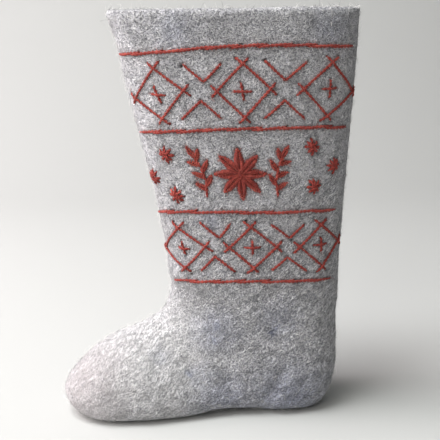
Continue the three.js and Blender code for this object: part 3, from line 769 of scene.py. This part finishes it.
# Border lines
# Four lines of long running stitches, each starting a little before the last one ends and beside
# it, which makes the line look like a loose rope.
border_stitch = 0.033
border_overlap = 0.01
border_yarn = 0.0028
border_sway = 0.0011
border_climb = 0.35
border_taper = 0.01
border_middles = {}
border_rows = [
    {"node": "border_collar", "start": 0.032, "end": 0.918},
    {"node": "border_calf", "start": 0.05, "end": 0.906},
    {"node": "border_shin", "start": 0.02, "end": 0.868},
    {"node": "border_ankle", "start": 0.092, "end": 0.853},
]


def embroider_border(node, start, end):
    marks = marks_of(node)
    curve = np.polyfit(marks[:, 0], marks[:, 1], 4)
    border_middles[node] = float(np.polyval(curve, (marks[:, 0].min() + marks[:, 0].max()) / 2))
    leg = leg_length(border_middles[node])
    count = max(1, round((end - start) * leg / (border_stitch - border_overlap)))
    reach = (end - start) / count
    overlap = border_overlap / leg / 2
    work = new_work()
    for i in range(count):
        first = start + i * reach - (overlap if i else 0)
        last = start + (i + 1) * reach + (overlap if i < count - 1 else 0)
        sway = border_sway * rng.uniform(0.5, 1.1)
        before = (first, np.polyval(curve, first) - (sway if i else 0))
        after = (last, np.polyval(curve, last) + (sway if i < count - 1 else 0))
        width = border_yarn * rng.uniform(0.92, 1.08)
        bow = rng.uniform(-stitch_bow, stitch_bow)
        lay_stitch(work, before, after, width, bow, climb=border_climb, taper=border_taper)
    finish_work(work, node)


for row in border_rows:
    embroider_border(**row)

# Diamonds
# Four long stitches of thinner yarn each, sewn straight from corner to corner and a little past both,
# so that they cross there. Corners are a share round the leg and a share of the way up the band.
motif_yarn = 0.0025
past_corner = 0.0078
nearest_to_front = 0.006
band_borders = {"upper": ("border_calf", "border_collar"), "lower": ("border_ankle", "border_shin")}
diamond_rows = [
    {"node": "upper_diamond_1", "top": (0.183, 0.742), "back": (0.278, 0.473),
     "bottom": (0.182, 0.116), "front": (0.083, 0.359)},
    {"node": "upper_diamond_2", "top": (0.492, 0.793), "back": (0.583, 0.49),
     "bottom": (0.485, 0.146), "front": (0.395, 0.464)},
    {"node": "upper_diamond_3", "top": (0.817, 0.793), "back": (0.926, 0.419),
     "bottom": (0.8, 0.137), "front": (0.706, 0.478)},
    {"node": "lower_diamond_1", "top": (0.155, 0.743), "back": (0.265, 0.499),
     "bottom": (0.165, 0.154), "front": (0.03, 0.38)},
    {"node": "lower_diamond_2", "top": (0.468, 0.787), "back": (0.573, 0.491),
     "bottom": (0.472, 0.193), "front": (0.37, 0.493)},
    {"node": "lower_diamond_3", "top": (0.782, 0.76), "back": (0.891, 0.474),
     "bottom": (0.791, 0.151), "front": (0.68, 0.47)},
]
diamond_sides = [("front", "top"), ("top", "back"), ("front", "bottom"), ("back", "bottom")]


def in_band(node, corner):
    """The chart mark of a corner given as shares round the leg and up its band."""
    low, high = (border_middles[border] for border in band_borders[node.split("_")[0]])
    return np.array([corner[0], low + corner[1] * (high - low)])


def lay_past(work, start, end, past, width):
    """A stitch between two marks that runs on past both by a length in metres."""
    scale = np.array([leg_length(float(start[1] + end[1]) / 2), 1.0])
    way = (end - start) * scale
    way /= np.hypot(*way)
    ends = [start - way * past / scale, end + way * past / scale]
    for mark in ends:
        mark[0] = max(mark[0], nearest_to_front)
    lay_stitch(work, *ends, width, bow=rng.uniform(-stitch_bow, stitch_bow))


for row in diamond_rows:
    work = new_work()
    for first, last in diamond_sides:
        past = past_corner * rng.uniform(0.85, 1.15)
        width = motif_yarn * rng.uniform(0.94, 1.08)
        lay_past(work, in_band(row["node"], row[first]), in_band(row["node"], row[last]), past, width)
    finish_work(work, row["node"])

# Plus marks
# Two short stitches of the same yarn in each diamond, the level one over the upright one. Half of a
# stitch is a length in metres. The lean, a share of that, is how far the upright one's top strays to
# the back, and the level one tilts by a share of the lean.
level_lean = 0.3
plus_rows = [
    {"node": "upper_plus_1", "middle": (0.18, 0.418), "half": 0.0076, "lean": -0.3},
    {"node": "upper_plus_2", "middle": (0.484, 0.461), "half": 0.0086, "lean": -0.08},
    {"node": "upper_plus_3", "middle": (0.809, 0.473), "half": 0.0088, "lean": 0.05},
    {"node": "lower_plus_1", "middle": (0.162, 0.44), "half": 0.0068, "lean": -0.22},
    {"node": "lower_plus_2", "middle": (0.47, 0.49), "half": 0.0076, "lean": 0.02},
    {"node": "lower_plus_3", "middle": (0.783, 0.472), "half": 0.008, "lean": -0.05},
]
for row in plus_rows:
    middle = in_band(row["node"], row["middle"])
    half = row["half"]
    half_round = half / leg_length(float(middle[1]))
    upright = np.array([row["lean"] * half_round, half])
    level = np.array([half_round, level_lean * row["lean"] * half])
    work = new_work()
    for way in (upright, level):
        reach = rng.uniform(0.94, 1.06)
        lay_stitch(work, middle + way * reach, middle - way * reach, motif_yarn)
    finish_work(work, row["node"])

# Chevrons
# Two long stitches of the same yarn each, hanging or standing between the diamonds. Both go down
# through one hole at the point.
past_point = 0.0006
chevron_rows = [
    {"node": "upper_hanging_chevron_1", "front": (0.288, 0.79), "point": (0.352, 0.583),
     "back": (0.417, 0.797)},
    {"node": "upper_hanging_chevron_2", "front": (0.569, 0.831), "point": (0.639, 0.591),
     "back": (0.719, 0.815)},
    {"node": "upper_standing_chevron_1", "front": (0.254, 0.113), "point": (0.334, 0.349),
     "back": (0.399, 0.131)},
    {"node": "upper_standing_chevron_2", "front": (0.556, 0.127), "point": (0.634, 0.35),
     "back": (0.709, 0.115)},
    {"node": "lower_hanging_chevron_1", "front": (0.256, 0.85), "point": (0.332, 0.632),
     "back": (0.384, 0.83)},
    {"node": "lower_hanging_chevron_2", "front": (0.557, 0.81), "point": (0.633, 0.608),
     "back": (0.702, 0.794)},
    {"node": "lower_standing_chevron_1", "front": (0.239, 0.129), "point": (0.304, 0.356),
     "back": (0.393, 0.133)},
    {"node": "lower_standing_chevron_2", "front": (0.552, 0.153), "point": (0.622, 0.336),
     "back": (0.716, 0.104)},
]
for row in chevron_rows:
    work = new_work()
    for end in ("front", "back"):
        width = motif_yarn * rng.uniform(0.92, 1.02)
        lay_past(work, in_band(row["node"], row[end]), in_band(row["node"], row["point"]), past_point, width)
    finish_work(work, row["node"])

# Stars
# Eight short stitches of a thicker yarn from the points of each star to its middle, where they are
# drawn tight into one hole.
star_yarn = 0.0029
star_order = (0, 4, 2, 6, 1, 5, 3, 7)
star_wobble = 0.12
star_slanting = 0.94
past_middle = 0.0012
star_count = 6


def embroider_star(node):
    marks = marks_of(node)
    middle = (marks.min(axis=0) + marks.max(axis=0)) / 2
    leg = leg_length(float(middle[1]))
    radius = (marks[:, 1].max() - marks[:, 1].min()) / 2
    work = new_work()
    for i in star_order:
        angle = math.pi / 4 * i + rng.uniform(-star_wobble, star_wobble)
        reach = radius * rng.uniform(0.98, 1.16) * (star_slanting if i % 2 else 1.0)
        way = np.array([math.cos(angle) / leg, math.sin(angle)])
        lay_stitch(work, middle + way * reach, middle - way * past_middle, star_yarn, end_draw_and_shade=(0.25, 0.1))
    finish_work(work, node)


for number in range(1, star_count + 1):
    embroider_star(f"star_{number}")

# Flower and sprigs
# Petals and leaves are filled with slanting stitches laid side by side from both edges to the
# midrib. The button is a knot of short stitches over the petals' roots.
satin_yarn = 0.0019
satin_step = 0.00165
satin_stray = 0.0002
rib_overlap = 0.25
petal_count = 8
petal_share = 0.37
petal_start, petal_end = 0.12, 0.98
leaf_share = 0.22
leaf_blunt = 0.7
leaf_root, leaf_run = 0.1, 0.86
satin_slant = 0.9
satin_first = 0.75
satin_stagger = 0.15
tip_stitch = 0.004
button_stitches = 5
button_half = 0.18
button_round = 0.45
button_step = 0.065


def fill_leaf(work, root, tip, width, leg):
    """Fills a pointed leaf between two marks with slanting stitches."""
    root, tip = np.array(root), np.array(tip)
    scale = np.array([leg, 1.0])
    axis = (tip - root) * scale
    length = float(np.hypot(*axis))
    axis /= length
    across = np.array([-axis[1], axis[0]])
    count = max(3, round(length / satin_step))
    for i in range(count):
        for way in (-1, 1):
            outer = (i + satin_first + satin_stagger * way) / count
            half = width / 2 * math.sin(math.pi * min(1, leaf_root + leaf_run * outer)) ** leaf_blunt
            inner = max(0.0, outer - satin_slant * half / length)
            edge = root + (axis * outer * length + across * way * half) / scale
            rib = root + (axis * inner * length - across * way * satin_yarn * rib_overlap) / scale
            edge += rng.uniform(-satin_stray, satin_stray, 2) / scale
            lay_stitch(work, edge, rib, satin_yarn, end_draw_and_shade=(0.12, 0.0))
    below_tip = tip - axis * min(tip_stitch, length * 0.3) / scale
    lay_stitch(work, tip, below_tip, satin_yarn, end_draw_and_shade=(0.2, 0.0))


flower_marks = marks_of("flower")
flower_middle = (flower_marks.min(axis=0) + flower_marks.max(axis=0)) / 2
flower_radius = float(np.ptp(flower_marks[:, 1]) / 2)
flower_leg = leg_length(float(flower_middle[1]))


def flower_mark(side, up, way=1):
    """A mark at shares of the flower's radius from its middle, to the back and up."""
    return flower_middle + np.array([way * side * flower_radius / flower_leg, up * flower_radius])


flower_work = new_work()
for i in range(petal_count):
    angle = 2 * math.pi * i / petal_count
    tip = petal_end * np.array([math.cos(angle), math.sin(angle)])
    root = petal_start * tip
    fill_leaf(flower_work, flower_mark(*root), flower_mark(*tip), petal_share * flower_radius, flower_leg)
for i in range(button_stitches):
    from_middle = i - (button_stitches - 1) / 2
    up = button_step * from_middle
    half = button_half * math.cos(button_round * from_middle)
    lay_stitch(flower_work, flower_mark(-half, up), flower_mark(half, up), satin_yarn, end_draw_and_shade=(0.1, 0.1))
finish_work(flower_work, "flower")

# The sprig's stem and leaves, in shares of the flower's radius from its middle.
sprig_stem = [(1.35, -0.9), (1.3, -0.3), (1.42, 0.25), (1.62, 0.68)]
sprig_leaves = [
    {"root": (1.32, -0.58), "tip": (1.72, -0.36)},
    {"root": (1.3, -0.42), "tip": (1.06, -0.02)},
    {"root": (1.33, -0.12), "tip": (1.78, 0.05)},
    {"root": (1.37, 0.1), "tip": (1.14, 0.52)},
    {"root": (1.47, 0.34), "tip": (1.9, 0.44)},
    {"root": (1.56, 0.5), "tip": (1.42, 0.94)},
    {"root": (1.6, 0.62), "tip": (1.84, 1.02)},
]
for node, way in (("front_sprig", -1), ("back_sprig", 1)):
    work = new_work()
    for start, end in zip(sprig_stem, sprig_stem[1:]):
        lay_stitch(work, flower_mark(*start, way), flower_mark(*end, way), motif_yarn)
    for leaf in sprig_leaves:
        root, tip = flower_mark(*leaf["root"], way), flower_mark(*leaf["tip"], way)
        fill_leaf(work, root, tip, leaf_share * flower_radius, flower_leg)
    finish_work(work, node)

# Felt under the stitches
# The yarn beds a little into the felt, and the needle's holes draw it in at the ends of the stitches.
# The felt is painted darker as shade in the holes and faintly under the yarn. A few holes are wider, where
# the needle went in more than once, and their painted shade shows dark beside the yarn.
bed_depth = 0.00035
bed_width = 0.9
bed_shade = 0.06
draw_depth = 0.0012
draw_radius = 0.0021
shade_spread = 1.6
stitched_side = -0.004
stitched_facing = 0.1
hole_rows = {
    "beside the first chevron": {"round": 0.281, "height": 0.335, "radius": 0.0026},
    "over the first plus": {"round": 0.17, "height": 0.316, "radius": 0.0026},
    "over the second diamond": {"round": 0.472, "height": 0.3412, "radius": 0.0022},
    "beside the second chevron": {"round": 0.5695, "height": 0.3398, "radius": 0.0022},
    "at the calf line": {"round": 0.034, "height": 0.2775, "radius": 0.0022},
    "over the shin line": {"round": 0.133, "height": 0.2046, "radius": 0.002},
    "over the fourth diamond": {"round": 0.131, "height": 0.1942, "radius": 0.002},
    "over the fifth diamond": {"round": 0.452, "height": 0.198, "radius": 0.0024},
    "beside the fifth diamond": {"round": 0.347, "height": 0.1791, "radius": 0.002},
    "beside the sixth diamond": {"round": 0.644, "height": 0.1788, "radius": 0.002},
    "under the fourth diamond": {"round": 0.197, "height": 0.1455, "radius": 0.002},
}
felt_points = points_of(felt)
felt_normals = normals_of(felt)
stitched = (felt_points[:, 1] < stitched_side) & (felt_normals[:, 1] < stitched_facing)
near_points = KDTree(int(stitched.sum()))
for i in np.flatnonzero(stitched):
    near_points.insert(felt_points[i], i)
near_points.balance()
sink = np.zeros(len(felt_points))
hole_shade_share = np.zeros(len(felt_points))


def press(place, radius, depth, dark):
    """Notes how far the felt sinks near a place, and how much shade is painted there."""
    for _, i, distance in near_points.find_range(place, radius):
        share = (1 - (distance / radius) ** 2) ** 2
        sink[i] = max(sink[i], depth * share)
        hole_shade_share[i] = max(hole_shade_share[i], dark * min(1.0, shade_spread * share))


for stitch in all_stitches:
    for place in stitch["line"][1:-1:2]:
        press(place, stitch["width"] * bed_width, bed_depth, bed_shade)
    for place, dark in zip((stitch["line"][0], stitch["line"][-1]), stitch["end_draw_and_shade"]):
        press(place, draw_radius, draw_depth * (1 + dark), dark)
hole_marks = np.array([(row["round"], row["height"]) for row in hole_rows.values()])
for row, place in zip(hole_rows.values(), read_chart(chart, hole_marks)):
    press(place, row["radius"], row["radius"], 1.0)
set_points(felt, felt_points - felt_normals * sink[:, None])
# The painted shade is kept in an attribute for the felt's material.
layer = felt.data.attributes.new("hole_shade", "FLOAT", "POINT")
layer.data.foreach_set("value", hole_shade_share.astype(np.float32))

# Loose fibres
# Pale and dark wool that the felting left standing: short curled fibres all over the boot, longer
# stray hairs at the collar, down the front and back and under the arch, and red fluff on the yarn.
fibre_corners = 3
fibre_root = 0.0004
fibre_floor = 0.0002
fibre_tip = 0.15


def skin_samples(piece, count, seed, keep):
    """Places spread evenly over the faces of a piece that keep() accepts, with their normals."""
    piece.data.calc_loop_triangles()
    random = np.random.default_rng(seed)
    triangles = piece.data.loop_triangles
    corners = np.zeros(len(triangles) * 3, int)
    triangles.foreach_get("vertices", corners)
    corners = corners.reshape(-1, 3)
    points = points_of(piece)
    a, b, c = (points[corners[:, k]] for k in range(3))
    facing = np.cross(b - a, c - a)
    area = np.linalg.norm(facing, axis=1) / 2
    facing /= np.maximum(2 * area, 1e-12)[:, None]
    area = area * keep((a + b + c) / 3, facing)
    chosen = random.choice(len(area), size=count, p=area / area.sum())
    u = np.sqrt(random.random(count))[:, None]
    v = random.random(count)[:, None]
    places = a[chosen] * (1 - u) + b[chosen] * u * (1 - v) + c[chosen] * u * v
    return places, facing[chosen], random


def unit(vectors):
    return vectors / np.maximum(np.linalg.norm(vectors, axis=-1, keepdims=True), 1e-12)


def add_fibres(name, places, normals, random, look, comb=(0, 0, 0)):
    """Curled tapering fibres from places on the felt, drawn towards comb. Stand is how steeply they rise."""
    count = len(places)
    parts = look["parts"]
    curl = look["curl"]
    tangent = unit(np.cross(normals, random.normal(size=(count, 3))))
    tangent = unit(tangent + comb)
    tangent = unit(tangent - normals * (tangent * normals).sum(1, keepdims=True))
    rising = random.uniform(*look["stand"], (count, 1))
    heading = unit(tangent + normals * rising)
    step = random.uniform(*look["length"], (count, 1)) / parts
    turn = random.normal(0, curl, (count, 1))
    dip = rising / parts * random.uniform(0.6, 1.9, (count, 1))
    here = places - normals * fibre_root
    line = [here]
    for _ in range(parts):
        here = here + heading * step
        line.append(here)
        aside = unit(np.cross(normals, heading))
        turn = turn + random.normal(0, curl * 0.5, (count, 1))
        heading = unit(heading + aside * turn - normals * dip)
    line = np.stack(line, axis=1)
    forward = unit(np.gradient(line, axis=1))
    side = unit(np.cross(normals[:, None], forward))
    over = np.cross(forward, side)
    share = np.linspace(0, 1, parts + 1)
    taper = fibre_tip + (1 - fibre_tip) * np.sin(np.pi * (0.12 + 0.86 * share)) ** 0.6
    radius = random.uniform(*look["thickness"], (count, 1)) / 2 * taper
    corner_angles = 2 * np.pi * np.arange(fibre_corners) / fibre_corners
    sideways = np.cos(corner_angles)[:, None] * side[:, :, None]
    ring = sideways + np.sin(corner_angles)[:, None] * over[:, :, None]
    points = line[:, :, None] + ring * radius[:, :, None, None]
    points[..., 2] = np.maximum(points[..., 2], fibre_floor)
    size = (parts + 1) * fibre_corners
    pattern = []
    for i in range(parts):
        for k in range(fibre_corners):
            a = i * fibre_corners + k
            b = i * fibre_corners + (k + 1) % fibre_corners
            pattern.append((a, b, b + fibre_corners, a + fibre_corners))
    quads = (np.array(pattern)[None] + size * np.arange(count)[:, None, None]).reshape(-1, 4)
    ends = np.array([(2, 1, 0), (size - 3, size - 2, size - 1)])
    caps = (ends[None] + size * np.arange(count)[:, None, None]).reshape(-1, 3)
    mesh = bpy.data.meshes.new(name)
    mesh.from_pydata(points.reshape(-1, 3).tolist(), [], quads.tolist() + caps.tolist())
    piece = bpy.data.objects.new(name, mesh)
    bpy.context.collection.objects.link(piece)
    only(piece)
    bpy.ops.object.shade_smooth()
    mesh.materials.append(look["material"])
    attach(piece, "root")


def fibre_material(name, colours, sheen):
    material, shader = new_material(name, roughness=0.8, sheen=sheen, specular=0.2)
    blend = add_noise(material, coordinates(material), scale=180.0).outputs[0]
    colour = mix_colours(material, map_range(material, blend, 0.35, 0.65), *colours)
    material.node_tree.links.new(colour, shader.inputs["Base Color"])
    return material


hollow_top = 0.355
leg_start = 0.13
leg_middle, foot_middle = -0.05, -0.08
middle_width = 0.01
hollow_floor = 0.02
sole_top = 0.0015
end_facing = 0.7
floor_facing = 0.5


def outer_skin(centres, facing):
    """1 on the outside, the cut collar and the top of the hollow, 0 on the sole and deep inside."""
    inward = (facing[:, 1] * centres[:, 1] < 0) & (abs(centres[:, 1]) > middle_width)
    front_or_back = abs(facing[:, 0]) > end_facing
    middle = np.where(centres[:, 2] > leg_start, leg_middle, foot_middle)
    inward |= front_or_back & (facing[:, 0] * (centres[:, 0] - middle) < 0)
    on_floor = (facing[:, 2] > floor_facing) & (centres[:, 2] < hollow_floor)
    deep = (inward | on_floor) & (centres[:, 2] < hollow_top)
    return np.where(deep | (centres[:, 2] < sole_top), 0.0, 1.0)


stitch_points = np.concatenate([stitch["line"] for stitch in all_stitches])
stitch_tree = KDTree(len(stitch_points))
for i, point in enumerate(stitch_points):
    stitch_tree.insert(point, i)
stitch_tree.balance()
pale_wool = fibre_material("pale_fibres", [(0.72, 0.71, 0.7, 1), (0.92, 0.9, 0.87, 1)], sheen=0.3)
dark_wool = fibre_material("dark_fibres", [(0.1, 0.1, 0.11, 1), (0.3, 0.3, 0.32, 1)], sheen=0.1)
red_fluff = fibre_material("red_fluff", [(0.45, 0.06, 0.035, 1), (0.65, 0.13, 0.07, 1)], sheen=0.2)

# The nap stops short of the yarn, and is combed up towards the heel on the foot.
yarn_gap = 0.0024
nap_low, nap_high = 0.09, 0.15
nap_comb = np.array([0.9, 0, 0.5])
nap_rows = [
    {"name": "pale_nap", "count": 7200, "seed": 21, "material": pale_wool, "length": (0.003, 0.0085),
     "thickness": (0.00016, 0.0003), "stand": (0.1, 0.65), "curl": 0.17, "parts": 4},
    {"name": "dark_nap", "count": 6800, "seed": 22, "material": dark_wool, "length": (0.0025, 0.007),
     "thickness": (0.00018, 0.00034), "stand": (0.1, 0.5), "curl": 0.17, "parts": 4},
]
for row in nap_rows:
    places, normals, random = skin_samples(felt, row["count"], row["seed"], outer_skin)
    clear = np.array([stitch_tree.find(place)[2] > yarn_gap for place in places])
    places, normals = places[clear], normals[clear]
    comb = nap_comb * (1 - smooth_step(places[:, 2:], nap_low, nap_high))
    add_fibres(row["name"], places, normals, random, row, comb)

# Stray hairs, and where each kind grows.
rim_hairs_above = 0.368
edge_hairs_below = 0.37
edge_facing = 0.6
arch_place = (-0.075, 0.009)
arch_reach = 0.006
arch_side = -0.02


def at_collar(centres, facing):
    return outer_skin(centres, facing) * (centres[:, 2] > rim_hairs_above)


def along_edges(centres, facing):
    at_edge = (abs(facing[:, 1]) < edge_facing) & (centres[:, 2] < edge_hairs_below)
    return outer_skin(centres, facing) * at_edge


def at_arch(centres, facing):
    near = np.hypot(centres[:, 0] - arch_place[0], centres[:, 2] - arch_place[1]) < arch_reach
    return near * (centres[:, 1] < arch_side) * 1.0


hair_rows = [
    {"name": "collar_hairs", "where": at_collar, "count": 110, "seed": 31, "material": pale_wool, "parts": 8,
     "length": (0.005, 0.013), "thickness": (0.00009, 0.00015), "stand": (0.5, 2.2), "curl": 0.25,
     "comb": (0, 0, 0.5)},
    {"name": "collar_wisps", "where": at_collar, "count": 16, "seed": 34, "material": dark_wool, "parts": 10,
     "length": (0.012, 0.022), "thickness": (0.00016, 0.00024), "stand": (0.8, 2.5), "curl": 0.2,
     "comb": (0, 0, 0.6)},
    {"name": "edge_hairs", "where": along_edges, "count": 900, "seed": 32, "material": pale_wool, "parts": 7,
     "length": (0.005, 0.012), "thickness": (0.0001, 0.0002), "stand": (0.5, 2.2), "curl": 0.28,
     "comb": (0, 0, 0)},
    {"name": "arch_tuft", "where": at_arch, "count": 16, "seed": 33, "material": pale_wool, "parts": 7,
     "length": (0.005, 0.009), "thickness": (0.0001, 0.00018), "stand": (0.6, 1.6), "curl": 0.25,
     "comb": (0, -0.4, -0.8)},
]
for row in hair_rows:
    places, normals, random = skin_samples(felt, row["count"], row["seed"], row["where"])
    add_fibres(row["name"], places, normals, random, row, row["comb"])

# The yarn's fluff stands out of the embroidered side, a little scattered.
fluff_count = 1900
fluff_scatter = 0.5
fluff_lift = 0.0012
fluff_look = {"material": red_fluff, "length": (0.0018, 0.0045), "thickness": (0.00012, 0.0002),
              "stand": (0.1, 0.9), "curl": 0.4, "parts": 3}
random = np.random.default_rng(41)
places = stitch_points[random.choice(len(stitch_points), size=fluff_count)]
scatter = unit(np.cross(random.normal(size=places.shape), random.normal(size=places.shape)))
normals = unit(np.array([0, -1, 0]) + fluff_scatter * scatter)
add_fibres("yarn_fluff", places + normals * fluff_lift, normals, random, fluff_look)
